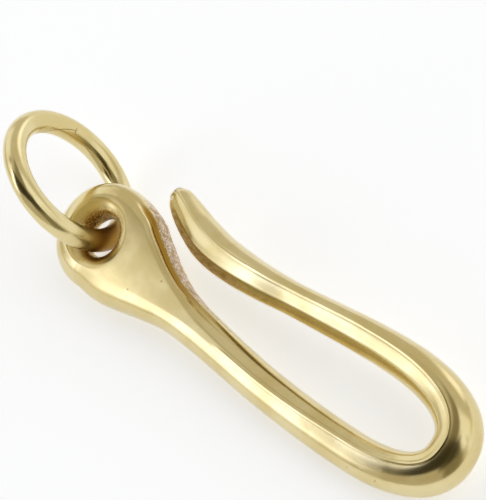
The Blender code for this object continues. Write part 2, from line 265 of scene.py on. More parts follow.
# Studio. Each panel stands round the object: azimuth and elevation of its middle, half its width and
# height, its tilt and the softness of its border in degrees, and how bright it is. It covers those before.
FLOOR_RADIUS = 3.0
FLOOR_STEPS = 96
FLOOR_GLOW = 0.46
WALL_LEVEL = 0.68
PANELS = [
    (0, 90, 18, 18, 0, 5, 0.28),
    (276, 27, 24, 19, -43, 5, 1.05),
    (241, 37, 8, 18, -20, 4, 1.14),
    (176, 8, 35, 24, -3, 5, 0.56),
    (116, 15, 21, 19, 0, 5, 0.26),
    (125, 50, 22, 16, 0, 4, 0.12),
    (165, 62, 34, 13, 0, 4, 0.06),
    (189, 52, 23, 16, -27, 2.5, 0.04),
    (218, 13, 10, 9, 20, 4, 1.20),
    (220.5, 30, 4.8, 19, -22, 3, 2.20),
    (258, 51, 4, 12, -30, 3, 0.42),
    (352, 9, 10, 18, -20, 6, 1.45),
    (50, 48, 14, 26, 0, 5, 1.12),
    (82, 42, 8, 16, 0, 5, 1.15),
    (41, 3, 40, 12, 15, 6, 1.05),
]

# How a cloth's green and blue fall behind its red where it is dim, and pass it where it is bright
DIM_GREEN_LOSS = 0.16
DIM_BLUE_LOSS = 0.60
BRIGHT_GREEN_GAIN = 0.03
BRIGHT_BLUE_GAIN = 0.20

# A smooth step of a Map Range node, and the sockets of a colour mix
SOFT_STEP = {"interpolation_type": "SMOOTHSTEP"}
MIX_SHARE = 0
MIX_UNDER = 6
MIX_OVER = 7
MIX_RESULT = 2


def srgb(hex_colour):
    """Linear colour of a hex colour as it is seen."""
    parts = [int(hex_colour[i : i + 2], 16) / 255 for i in (1, 3, 5)]
    linear = [c / 12.92 if c <= 0.04045 else ((c + 0.055) / 1.055) ** 2.4 for c in parts]
    return (*linear, 1.0)


def direction(azimuth, elevation):
    """Unit vector towards a place on the sky: azimuth from +Y towards +X, both in degrees."""
    a = math.radians(azimuth)
    e = math.radians(elevation)
    return Vector((math.sin(a) * math.cos(e), math.cos(a) * math.cos(e), math.sin(e)))


def add_node(tree, kind, inputs=(), **settings):
    """Adds a shader node and gives its outputs.

    Inputs go by name or in order, and each is a value or another node's output. Settings are the node's own.
    """
    node = tree.nodes.new(kind)
    for name, setting in settings.items():
        setattr(node, name, setting)
    named = inputs.items() if isinstance(inputs, dict) else enumerate(inputs)
    for name, given in named:
        if isinstance(given, bpy.types.NodeSocket):
            tree.links.new(given, node.inputs[name])
        else:
            node.inputs[name].default_value = given
    return node.outputs


# Shape of the hook


def hermite(places, values, tangents, wanted):
    """Values at the wanted places, on the cubic curve with the given values and tangents."""
    k = np.clip(np.searchsorted(places, wanted, side="right") - 1, 0, len(places) - 2)
    step = places[k + 1] - places[k]
    t = (wanted - places[k]) / step
    if values.ndim > 1:
        step = step[:, None]
        t = t[:, None]
    return (
        values[k] * (1 + 2 * t) * (1 - t) ** 2
        + tangents[k] * step * t * (1 - t) ** 2
        + values[k + 1] * t * t * (3 - 2 * t)
        + tangents[k + 1] * step * t * t * (t - 1)
    )


def level_tangents(places, values):
    """Tangents that let a curve pass through the values with no overshoot."""
    steps = np.diff(places)
    slopes = np.diff(values) / steps
    tangents = np.zeros(len(places))
    for i in range(1, len(places) - 1):
        if slopes[i - 1] * slopes[i] > 0:
            before = 2 * steps[i] + steps[i - 1]
            after = steps[i] + 2 * steps[i - 1]
            tangents[i] = (before + after) / (before / slopes[i - 1] + after / slopes[i])
    return tangents


def centre_line():
    """The points that the centre line passes in plan, and which of them start a stretch."""
    shank_drop = BEND_HALF_WIDTH - BEND_OFFSET
    arm_rise = BEND_HALF_WIDTH + BEND_OFFSET
    points = [(along * NECK_LENGTH, -down * NECK_DROP) for along, down in NECK_SHARES]
    starts = [0, len(points)]
    for along, down in SHANK_SHARES:
        x = NECK_LENGTH + along * (SHANK_END - NECK_LENGTH)
        y = -NECK_DROP - down * (shank_drop - NECK_DROP)
        points.append((x, y))
    starts.append(len(points))
    for i in range(ARC_STEPS + 1):
        angle = math.pi * (i / ARC_STEPS - 1 / 2)
        across = math.copysign(abs(math.sin(angle)) ** (2 / BEND_SQUARENESS), angle)
        x = SHANK_END + BEND_LENGTH * abs(math.cos(angle)) ** (2 / BEND_SQUARENESS)
        points.append((x, BEND_OFFSET + BEND_HALF_WIDTH * across))
    starts.append(len(points) - 1)
    for along, down in ARM_SHARES:
        points.append((SHANK_END - along * (SHANK_END - ARM_START), arm_rise - down * (arm_rise - ARM_NEAR)))
    starts.append(len(points) - 1)
    for along, out in BEAK_SHARES:
        points.append((ARM_START - along * (ARM_START - TIP_START), ARM_NEAR + out * (TIP_OUT - ARM_NEAR)))
    starts.append(len(points) - 1)
    return np.array(points), starts


def smooth(low, high, value):
    """0 below low, 1 above high, and a smooth step between them."""
    t = min(max((value - low) / (high - low), 0.0), 1.0)
    return t * t * (3 - 2 * t)


def groove_dip(angle):
    """How deep the groove is at an angle of the open side, as a share: negative on the ridge above it."""
    height = abs(angle)
    if height > RIDGE_CREST:
        return -RIDGE_SHARE * (1 - smooth(RIDGE_CREST, RIDGE_END, height))
    if height > GROOVE_FLOOR:
        return 1 - (1 + RIDGE_SHARE) * smooth(GROOVE_FLOOR, RIDGE_CREST, height)
    return smooth(GROOVE_FOOT, GROOVE_FLOOR, height)


def rounding(share, square):
    """How far a rounding reaches across, and its height: 1 is its top, 0 its edge and -1 its foot."""
    angle = math.pi / 2 * share
    across = abs(math.cos(angle)) ** (2 / square)
    height = math.copysign(abs(math.sin(angle)) ** (2 / square), math.sin(angle))
    return across, height


def half_outline(width, thickness, corner, square, facet, groove):
    """One side of a section, from the end of its upper flat, round its rounded edge, to its lower flat."""
    radius = width * corner
    high_across, high = rounding(FACET_HIGH_SHARE, square)
    low_across, low = rounding(FACET_LOW_SHARE, square)
    outline = []
    for i in range(2 * CORNER_STEPS + 1):
        share = 1 - i / CORNER_STEPS
        across, height = rounding(share, square)
        if FACET_LOW_SHARE < abs(share) < FACET_HIGH_SHARE:
            chord = high + (low - high) * (across - high_across) / (low_across - high_across)
            height += facet * FACET_FLATNESS * (math.copysign(chord, height) - height)
        angle = math.pi / 2 * share
        dip = groove * groove_dip(angle)
        reach = width - radius + radius * across - dip * math.cos(angle)
        outline.append((reach, thickness * height - dip * math.sin(angle)))
    return outline


class Station:
    """One section of the hook: its crest points, its outline, and where its wall is left as cast."""

    def __init__(self, along, centre, tangent, row, groove, cast, reflection_and_dulling, bead):
        width, thickness, open_corner, back_corner, open_square, back_square, ridge, facet = row
        normal = np.array([-tangent[1], tangent[0]])
        crest = centre - normal * ridge * width
        peak = thickness + bead * BEAD_HEIGHT
        self.along = along
        self.crest = [(crest[0], crest[1], peak), (crest[0], crest[1], -peak)]
        self.sides = []
        self.around = []
        self.marks = []
        open_shape = (open_corner, open_square, facet, groove * GROOVE_DEPTH)
        back_shape = (back_corner, back_square, 0.0, 0.0)
        for side, shape in ((1, open_shape), (-1, back_shape)):
            outline = half_outline(width * (1 + side * ridge), thickness, *shape)
            points = [crest + side * normal * across for across, _ in outline]
            self.sides.append([(p[0], p[1], o[1]) for p, o in zip(points, outline)])
            steps = np.linalg.norm(np.diff(np.array([(0.0, thickness), *outline]), axis=0), axis=1)
            lengths = np.cumsum(steps)
            nearest = np.minimum(lengths, lengths[-1] + steps[0] - lengths)
            self.around.append(side * nearest)
            self.marks.append([self.mark(i, side, cast, groove, reflection_and_dulling) for i in range(len(outline))])

    @staticmethod
    def mark(index, side, cast, groove, reflection_and_dulling):
        """How much a point belongs to the wall left as cast, and to the groove or the painted reflection
        beside it.
        """
        if side < 0:
            return (0.0, 0.0)
        angle = abs(math.pi / 2 * (1 - index / CORNER_STEPS))
        wall = 1 - smooth(WALL_START, WALL_END, angle)
        floor = 1 - smooth(GROOVE_FLOOR, RIDGE_CREST, angle)
        edge = 1 - smooth(REFLECTION_AND_DULLING_START, REFLECTION_AND_DULLING_END, angle)
        return (cast * wall, groove * (floor - wall) + reflection_and_dulling * edge)


def stations():
    """The hook's sections, evenly spaced along its centre line."""
    points, starts = centre_line()
    lengths = np.concatenate([[0.0], np.cumsum(np.linalg.norm(np.diff(points, axis=0), axis=1))])
    line_tangents = np.gradient(points, lengths, axis=0)
    places = np.array([row[0] for row in SECTION_SHARES])
    along = np.interp(places, np.arange(len(starts)), lengths[starts])
    rows = np.array([(row[1] * row[2], row[3] * row[4], *row[5:]) for row in SECTION_SHARES])
    wanted = np.linspace(0, along[-1], STATION_COUNT)
    values = [hermite(along, column, level_tangents(along, column), wanted) for column in rows.T]
    centres = hermite(lengths, points, line_tangents, wanted)
    tangents = np.gradient(centres, wanted, axis=0)
    tangents /= np.linalg.norm(tangents, axis=1)[:, None]
    tangents[0] = (1.0, 0.0)
    stretch = np.interp(wanted, lengths[starts], np.arange(len(starts)))
    grooves = np.array(GROOVE_SHARES)
    reflections_and_dulling = np.array(REFLECTION_AND_DULLING_SHARES)
    beads = np.array(BEAD_SHARES)
    shares = (
        np.interp(stretch, grooves[:, 0], grooves[:, 1]),
        np.interp(stretch, grooves[:, 0], grooves[:, 2]),
        np.interp(stretch, reflections_and_dulling[:, 0], reflections_and_dulling[:, 1]),
        np.interp(stretch, beads[:, 0], beads[:, 1]),
    )
    made = [Station(*parts) for parts in zip(wanted, centres, tangents, zip(*values), *shares)]
    tip = hermite(lengths, points, line_tangents, lengths[-1:])[0]
    return made, (tip[0], tip[1], 0.0)


class Skin:
    """A mesh in the making whose points also carry where they are on the hook's skin."""

    def __init__(self):
        self.mesh = bmesh.new()
        self.place = {}

    def point(self, co, along, around, marks=(0.0, 0.0)):
        """Adds a point, with how far along and around the hook it is and its marks."""
        vertex = self.mesh.verts.new(co)
        self.place[vertex] = ((along, around), marks)
        return vertex

    def face(self, corners):
        """Adds a face, or none where too few of its corners differ."""
        different = [v for i, v in enumerate(corners) if v not in corners[:i]]
        if len(different) > 2:
            self.mesh.faces.new(different)

    def strip(self, first, second):
        """Adds the faces between two rows of points."""
        for a, b, c, d in zip(first, first[1:], second[1:], second):
            self.face((a, b, c, d))

    def finish(self, name):
        """The mesh, with the places as its skin and marks layers."""
        bmesh.ops.recalc_face_normals(self.mesh, faces=self.mesh.faces)
        skin = self.mesh.loops.layers.uv.new("skin")
        marks = self.mesh.loops.layers.uv.new("marks")
        for face in self.mesh.faces:
            for loop in face.loops:
                loop[skin].uv, loop[marks].uv = self.place[loop.vert]
        data = bpy.data.meshes.new(name)
        self.mesh.to_mesh(data)
        self.mesh.free()
        return data


def hook_mesh():
    """The hook without its bore: a half-turned eye end, and a loft along the centre line to the tip."""
    skin = Skin()
    sections, tip = stations()
    loops = []
    for station in sections:
        top, bottom = [skin.point(p, station.along, 0.0) for p in station.crest]
        sides = []
        for points, around, marks in zip(station.sides, station.around, station.marks):
            sides.append([skin.point(p, station.along, a, m) for p, a, m in zip(points, around, marks)])
        loops.append([top, *sides[0], bottom, *reversed(sides[1]), top])
    for first, second in zip(loops, loops[1:]):
        skin.strip(first, second)
    end = skin.point(tip, sections[-1].along, 0.0)
    for a, b in zip(loops[-1], loops[-1][1:]):
        skin.face((a, b, end))
    turned_end(skin, sections[0], loops[0])
    return skin.finish("hook_body")


def turned_end(skin, station, loop):
    """The round end of the eye: one side of the first section turned half a turn about the bore axis."""
    count = len(station.sides[0])
    top = loop[0]
    bottom = loop[count + 1]
    open_side = loop[1 : count + 1]
    back = list(reversed(loop[count + 2 : 2 * count + 2]))
    rows = [[top, *open_side, bottom]]
    for step in range(1, EYE_STEPS):
        share = step / EYE_STEPS
        angle = math.pi * share
        row = [top]
        for index, (first, second) in enumerate(zip(*station.sides)):
            radius = (1 - share) * abs(first[1]) + share * abs(second[1])
            height = (1 - share) * first[2] + share * second[2]
            around = (1 - 2 * share) * abs(station.around[0][index])
            place = (-radius * math.sin(angle), radius * math.cos(angle), height)
            row.append(skin.point(place, -EYE_RADIUS * math.sin(angle), around))
        rows.append([*row, bottom])
    rows.append([top, *back, bottom])
    for first, second in zip(rows, rows[1:]):
        skin.strip(second, first)


def bore_cutter():
    """A turned plug with a waist: narrow in the middle of the eye, and flared at both faces."""
    half = EYE_THICKNESS / 2
    side = []
    for i in range(FLARE_STEPS + 1):
        angle = math.pi / 2 * i / FLARE_STEPS
        radius = FLARE_RADIUS - (FLARE_RADIUS - BORE_WAIST_RADIUS) * math.cos(angle)
        side.append((radius, half * math.sin(angle)))
    top = [(0.0, half + CUT_OVERRUN), (FLARE_RADIUS, half + CUT_OVERRUN), *reversed(side)]
    lower = [(radius, -height) for radius, height in reversed(top[:-1])]
    profile = [*top, *lower]
    data = bpy.data.meshes.new("bore_cutter")
    edges = [(i, i + 1) for i in range(len(profile) - 1)]
    data.from_pydata([(radius, 0.0, height) for radius, height in profile], edges, [])
    cutter = bpy.data.objects.new("bore_cutter", data)
    bpy.context.scene.collection.objects.link(cutter)
    screw = cutter.modifiers.new("turn", "SCREW")
    screw.steps = BORE_STEPS
    screw.render_steps = BORE_STEPS
    screw.use_merge_vertices = True
    screw.merge_threshold = SEAM_MERGE
    return cutter


def applied(obj, name):
    """A mesh object's shape with its modifiers applied."""
    graph = bpy.context.evaluated_depsgraph_get()
    data = bpy.data.meshes.new_from_object(obj.evaluated_get(graph), depsgraph=graph)
    data.name = name
    return data


def remember(data, name, places):
    """Keeps a vector for each point of a mesh, for the finish to read."""
    layer = data.attributes.new(name, "FLOAT_VECTOR", "POINT")
    layer.data.foreach_set("vector", np.array(places, dtype=np.float32).ravel())


def hook_piece(place, material):
    """The hook with its bore, laid down."""
    body = bpy.data.objects.new("hook_body", hook_mesh())
    bpy.context.scene.collection.objects.link(body)
    cutter = bore_cutter()
    cut = body.modifiers.new("bore", "BOOLEAN")
    cut.operation = "DIFFERENCE"
    cut.solver = "EXACT"
    cut.object = cutter
    bpy.context.view_layer.update()
    data = applied(body, "polished_hook")
    for helper in (body, cutter):
        bpy.data.objects.remove(helper)
    data.materials.clear()
    data.materials.append(material)
    data.shade_smooth()
    data.set_sharp_from_angle(angle=CREASE_ANGLE)
    remember(data, "hook_place", [vertex.co for vertex in data.vertices])
    data.transform(place)
    hook = bpy.data.objects.new("polished_hook", data)
    bpy.context.scene.collection.objects.link(hook)
    weighted = hook.modifiers.new("flat_faces_lead", "WEIGHTED_NORMAL")
    weighted.keep_sharp = True
    return hook


def ring_piece(place, material):
    """The ring of round wire, hung through the bore."""
    mesh = bmesh.new()
    rows = []
    for i in range(RING_STEPS):
        turn = 2 * math.pi * i / RING_STEPS
        row = []
        for j in range(WIRE_STEPS):
            angle = 2 * math.pi * j / WIRE_STEPS
            reach = RING_RADIUS + WIRE_RADIUS * math.cos(angle)
            up = WIRE_RADIUS * math.sin(angle)
            row.append(mesh.verts.new((reach * math.cos(turn), reach * math.sin(turn), up)))
        rows.append(row)
    for first, second in zip(rows, rows[1:] + rows[:1]):
        for j in range(WIRE_STEPS):
            k = (j + 1) % WIRE_STEPS
            mesh.faces.new((first[j], second[j], second[k], first[k]))
    bmesh.ops.recalc_face_normals(mesh, faces=mesh.faces)
    data = bpy.data.meshes.new("wire_ring")
    mesh.to_mesh(data)
    mesh.free()
    data.shade_smooth()
    data.materials.append(material)
    remember(data, "ring_place", [vertex.co for vertex in data.vertices])
    turn = Euler((RING_TWIST, -RING_RISE, RING_SWING)).to_matrix().to_4x4()
    hang = Matrix.Translation((WIRE_AHEAD, WIRE_ASIDE, 0)) @ turn
    data.transform(place @ hang @ Matrix.Translation((RING_RADIUS, 0, 0)))
    ring = bpy.data.objects.new("wire_ring", data)
    bpy.context.scene.collection.objects.link(ring)
    return ring


# What both finishes are made of


def patches(tree, vector, sizes, detail):
    """A pattern of uneven patches that have the given sizes along the vector's axes."""
    counts = [1 / size for size in sizes]
    counted = add_node(tree, "ShaderNodeVectorMath", [vector, counts], operation="MULTIPLY")[0]
    return add_node(tree, "ShaderNodeTexNoise", {"Vector": counted, "Scale": 1.0, "Detail": detail})[0]


def coated(tree, colour, coats):
    """A colour with others over it in turn, each given as where it lies, from 0 to 1, and its colour."""
    for share, coat in coats:
        inputs = {MIX_SHARE: share, MIX_UNDER: colour, MIX_OVER: coat}
        colour = add_node(tree, "ShaderNodeMix", inputs, data_type="RGBA")[MIX_RESULT]
    return colour


def roughened(tree, rough, traces):
    """A roughness with more added in turn, each given as where it is, from 0 to 1, and how much it adds."""
    for share, more in traces:
        rough = add_node(tree, "ShaderNodeMath", [share, more, rough], operation="MULTIPLY_ADD")[0]
    return rough


def relief(tree, traces):
    """The metal's normal under traces that each have a height, from 0 to 1, and its full size in metres."""
    below = {}
    for height, depth in traces:
        inputs = {"Strength": 1.0, "Distance": depth, "Height": height, **below}
        below = {"Normal": add_node(tree, "ShaderNodeBump", inputs)[0]}
    return below["Normal"]


def show_metal(tree, colour, rough, normal):
    """Gives a material's shader the looks of bare metal."""
    shader = tree.nodes["Principled BSDF"]
    shader.inputs["Metallic"].default_value = 1.0
    for name, look in (("Base Color", colour), ("Roughness", rough), ("Normal", normal)):
        tree.links.new(look, shader.inputs[name])


# Finish of the hook


def unpolished(tree, place, grain, tone):
    """Where the wheel hardly reached or didn't: the gap side's wall and groove, the bore and its flare."""
    marks = add_node(tree, "ShaderNodeSeparateXYZ", [add_node(tree, "ShaderNodeUVMap", uv_map="marks")[0]])
    fray = [grain, *WHOLE_RANGE, -WALL_FRAY, WALL_FRAY]
    fray = add_node(tree, "ShaderNodeMapRange", fray, **SOFT_STEP)[0]
    frayed = add_node(tree, "ShaderNodeMath", [marks["X"], fray], operation="ADD")[0]
    parts = add_node(tree, "ShaderNodeSeparateXYZ", [place])
    flat = add_node(tree, "ShaderNodeCombineXYZ", {"X": parts["X"], "Y": parts["Y"]})[0]
    from_bore = add_node(tree, "ShaderNodeVectorMath", [flat, SHADED_BORE], operation="DISTANCE")["Value"]
    wander = [tone, *WHOLE_RANGE, -BORE_WANDER, BORE_WANDER]
    wander = add_node(tree, "ShaderNodeMapRange", wander, **SOFT_STEP)[0]
    wandered = add_node(tree, "ShaderNodeMath", [from_bore, wander], operation="ADD")[0]
    borders = {
        "wall": [frayed, *WALL_BORDER],
        # The groove's share also carries the painted reflection along the arm's gap side
        "groove": [marks["Y"], *GROOVE_BORDER],
        # The bore's border is centred towards its shaded side, as its colour is partly painted shade
        "bore": [wandered, BORE_SKIN, BORE_SKIN - BORE_FRAY],
        "flare": [from_bore, *FLARE_BORDER],
    }
    where = {}
    for name, border in borders.items():
        where[name] = add_node(tree, "ShaderNodeMapRange", border, **SOFT_STEP)[0]
    return where


def pitted(tree, place):
    """Where the hook has holes: pin holes strewn all over, and the pits in its bend."""
    strewn = {"Vector": place, "Scale": 1 / PIN_HOLE_SPACING}
    strewn = add_node(tree, "ShaderNodeTexVoronoi", strewn)["Distance"]
    size = PIN_HOLE_SIZE / PIN_HOLE_SPACING
    holes = add_node(tree, "ShaderNodeMapRange", [strewn, size, size / 2], **SOFT_STEP)[0]
    for pit in PIT_PLACES:
        away = add_node(tree, "ShaderNodeVectorMath", [place, pit], operation="DISTANCE")["Value"]
        hole = add_node(tree, "ShaderNodeMapRange", [away, PIT_SIZE, PIT_SIZE / 3], **SOFT_STEP)[0]
        holes = add_node(tree, "ShaderNodeMath", [holes, hole], operation="MAXIMUM")[0]
    return holes


def rubbed_bend(tree, place):
    """Where the bend is rubbed by what it hangs on."""
    away = add_node(tree, "ShaderNodeVectorMath", [place, RUBBED_PLACE], operation="DISTANCE")["Value"]
    return add_node(tree, "ShaderNodeMapRange", [away, RUBBED_SIZE, RUBBED_SIZE / 2], **SOFT_STEP)[0]


def hook_colour(tree, place, grain, tone, where):
    """Pale brass, deeper gold in the groove, gold grain in the bore, a pinkish wall with gold clumps, and
    painted shade and reflection.
    """
    deeper = add_node(tree, "ShaderNodeMapRange", [tone, *TONE_FADE], **SOFT_STEP)[0]
    bright = add_node(tree, "ShaderNodeMapRange", [grain, *GRAIN_FADE], **SOFT_STEP)[0]
    clumps = [patches(tree, place, *SAND_CLUMPS), *CLUMP_FADE]
    clumps = add_node(tree, "ShaderNodeMapRange", clumps, **SOFT_STEP)[0]
    bore = coated(tree, srgb("#B48C38"), [(bright, srgb("#FFE6A0"))])
    wall = coated(tree, srgb("#B5977A"), [(bright, srgb("#F8EADB")), (clumps, srgb("#B79A62"))])
    coats = [
        (deeper, srgb("#DAC890")),
        # Deeper gold over the groove, and along the arm's gap side a painted reflection of the shank and the
        # shaded floor
        (where["groove"], srgb("#B08A3A")),
        # The bore's gold grain is its own as cast; its darker gold, centred towards its shaded side, is
        # partly painted shade
        (where["bore"], bore),
        (where["wall"], wall),
        (where["pits"], srgb("#4A3718")),
    ]
    return coated(tree, srgb("#E3D4A3"), coats)


def hook_roughness(tree, tone, streaks, where):
    """Bright on the polished skin, duller where the wheel hardly reached, and matt where it is as cast."""
    skin = add_node(tree, "ShaderNodeMapRange", [tone, *WHOLE_RANGE, *HOOK_ROUGHNESS], **SOFT_STEP)[0]
    streaked = add_node(tree, "ShaderNodeMapRange", [streaks, *STREAK_FADE], **SOFT_STEP)[0]
    traces = [
        (streaked, STREAK_ROUGHNESS),
        (where["flare"], FLARE_ROUGHNESS),
        (where["rubbed"], RUBBED_ROUGHNESS),
        (where["groove"], GROOVE_ROUGHNESS),
    ]
    rough = roughened(tree, skin, traces)
    for name, least in (("wall", WALL_ROUGHNESS), ("bore", BORE_ROUGHNESS)):
        as_cast = add_node(tree, "ShaderNodeMath", [where[name], least], operation="MULTIPLY")[0]
        rough = add_node(tree, "ShaderNodeMath", [rough, as_cast], operation="MAXIMUM")[0]
    return rough


def cheek_dome(tree, place):
    """How the cheeks are domed, so that they aren't flat mirrors: 0 on their middle line, -1 off it."""
    parts = add_node(tree, "ShaderNodeSeparateXYZ", [place])
    ahead = add_node(tree, "ShaderNodeMath", [parts["X"], 0.0], operation="MAXIMUM")[0]
    off_middle = [ahead, CHEEK_SLANT, parts["Y"]]
    off_middle = add_node(tree, "ShaderNodeMath", off_middle, operation="MULTIPLY_ADD")[0]
    across = add_node(tree, "ShaderNodeMath", [off_middle, CHEEK_REACH], operation="DIVIDE")[0]
    square = add_node(tree, "ShaderNodeMath", [across, across], operation="MULTIPLY")[0]
    fall = add_node(tree, "ShaderNodeMath", [square, 1.0], operation="MINIMUM")[0]
    on_cheek = [parts["X"], CHEEK_END, CHEEK_END / 2, 0.0, -1.0]
    on_cheek = add_node(tree, "ShaderNodeMapRange", on_cheek, **SOFT_STEP)[0]
    return add_node(tree, "ShaderNodeMath", [fall, on_cheek], operation="MULTIPLY")[0]


def crest_line(tree, skin):
    """The fine line along the crest, where the two halves of the polishing meet."""
    on_skin = add_node(tree, "ShaderNodeSeparateXYZ", [skin])
    aside = add_node(tree, "ShaderNodeMath", [on_skin["Y"]], operation="ABSOLUTE")[0]
    near = add_node(tree, "ShaderNodeMapRange", [aside, CREST_REACH, 0.0], **SOFT_STEP)[0]
    begun = add_node(tree, "ShaderNodeMapRange", [on_skin["X"], CREST_START, CREST_FULL], **SOFT_STEP)[0]
    return add_node(tree, "ShaderNodeMath", [near, begun], operation="MULTIPLY")[0]


def hook_relief(tree, place, skin, grain, streaks, where):
    """Waves and streaks where the hook is polished, scratches, sand grain where it is as cast, and pits."""
    cast = add_node(tree, "ShaderNodeMath", [where["wall"], where["bore"]], operation="MAXIMUM")[0]
    polished = add_node(tree, "ShaderNodeMath", [1.0, cast], operation="SUBTRACT")[0]
    waves = patches(tree, place, *HOOK_WAVES)
    waves = add_node(tree, "ShaderNodeMath", [waves, polished], operation="MULTIPLY")[0]
    streaks = add_node(tree, "ShaderNodeMath", [streaks, polished], operation="MULTIPLY")[0]
    strength = [where["rubbed"], RUBBED_SHARE, SCRATCH_SHARE]
    strength = add_node(tree, "ShaderNodeMath", strength, operation="MULTIPLY_ADD")[0]
    scratches = [patches(tree, skin, *SCRATCHES), *SCRATCH_FADE]
    scratches = add_node(tree, "ShaderNodeMapRange", scratches, **SOFT_STEP)[0]
    scratches = add_node(tree, "ShaderNodeMath", [scratches, strength], operation="MULTIPLY")[0]
    sand = add_node(tree, "ShaderNodeMath", [grain, cast], operation="MULTIPLY")[0]
    unpitted = add_node(tree, "ShaderNodeMath", [1.0, where["pits"]], operation="SUBTRACT")[0]
    traces = [
        (cheek_dome(tree, place), CHEEK_DOME),
        (crest_line(tree, skin), CREST_HEIGHT),
        (waves, HOOK_WAVE_DEPTH),
        (streaks, STREAK_DEPTH),
        (scratches, SCRATCH_DEPTH),
        (sand, GRAIN_DEPTH),
        (unpitted, PIT_DEPTH),
    ]
    return relief(tree, traces)


def polished_cast_brass():
    """Sand-cast brass, tumbled and then polished by hand on a soft wheel along its length.

    The wheel leaves a bright skin with slow waves and fine streaks along the metal. It can't reach the gap
    side of the eye and the inside of the bore, which keep the dull grain of the sand.
    """
    material = bpy.data.materials.new("polished_cast_brass")
    material.use_nodes = True
    tree = material.node_tree
    skin = add_node(tree, "ShaderNodeUVMap", uv_map="skin")[0]
    place = add_node(tree, "ShaderNodeAttribute", attribute_name="hook_place")["Vector"]
    grain = patches(tree, place, *SAND_GRAIN)
    tone = patches(tree, place, *TONE)
    streaks = patches(tree, skin, *STREAKS)
    where = unpolished(tree, place, grain, tone)
    where["pits"] = pitted(tree, place)
    where["rubbed"] = rubbed_bend(tree, place)
    colour = hook_colour(tree, place, grain, tone, where)
    rough = hook_roughness(tree, tone, streaks, where)
    show_metal(tree, colour, rough, hook_relief(tree, place, skin, grain, streaks, where))
    return material


# Finish of the ring


def brazed_seam(tree, turn, around, waves):
    """Where the ring's seam is: a thin wavy line aslant on the wire's inside, with a square end."""
    full_turn = 2 * math.pi
    onward = add_node(tree, "ShaderNodeMath", [around, full_turn], operation="ADD")[0]
    angle = add_node(tree, "ShaderNodeMath", [onward, full_turn], operation="MODULO")[0]
    slant = add_node(tree, "ShaderNodeMath", [turn, SEAM_SLANT, SEAM_ANGLE], operation="MULTIPLY_ADD")[0]
    off_slant = add_node(tree, "ShaderNodeMath", [angle, slant], operation="SUBTRACT")[0]
    wobble = [waves, *WHOLE_RANGE, -SEAM_WOBBLE, SEAM_WOBBLE]
    wobble = add_node(tree, "ShaderNodeMapRange", wobble, **SOFT_STEP)[0]
    off_line = [off_slant, WIRE_RADIUS, wobble]
    off_line = add_node(tree, "ShaderNodeMath", off_line, operation="MULTIPLY_ADD")[0]
    aside = add_node(tree, "ShaderNodeMath", [off_line], operation="ABSOLUTE")[0]
    past_end = add_node(tree, "ShaderNodeMath", [turn, SEAM_START], operation="SUBTRACT")[0]
    past_end = add_node(tree, "ShaderNodeMath", [past_end, RING_RADIUS], operation="MULTIPLY")[0]
    off_end = add_node(tree, "ShaderNodeMath", [past_end], operation="ABSOLUTE")[0]
    line_borders = [
        [aside, SEAM_WIDTH, SEAM_CORE],
        [turn, SEAM_START, SEAM_START + SEAM_START_FADE],
        [turn, SEAM_END, SEAM_END - SEAM_END_FADE],
    ]
    end_borders = [[off_end, SEAM_WIDTH, SEAM_CORE], [aside, *SQUARE_END]]
    drawn = []
    for borders in (line_borders, end_borders):
        inside = 1.0
        for border in borders:
            within = add_node(tree, "ShaderNodeMapRange", border, **SOFT_STEP)[0]
            inside = add_node(tree, "ShaderNodeMath", [inside, within], operation="MULTIPLY")[0]
        drawn.append(inside)
    return add_node(tree, "ShaderNodeMath", drawn, operation="MAXIMUM")[0]


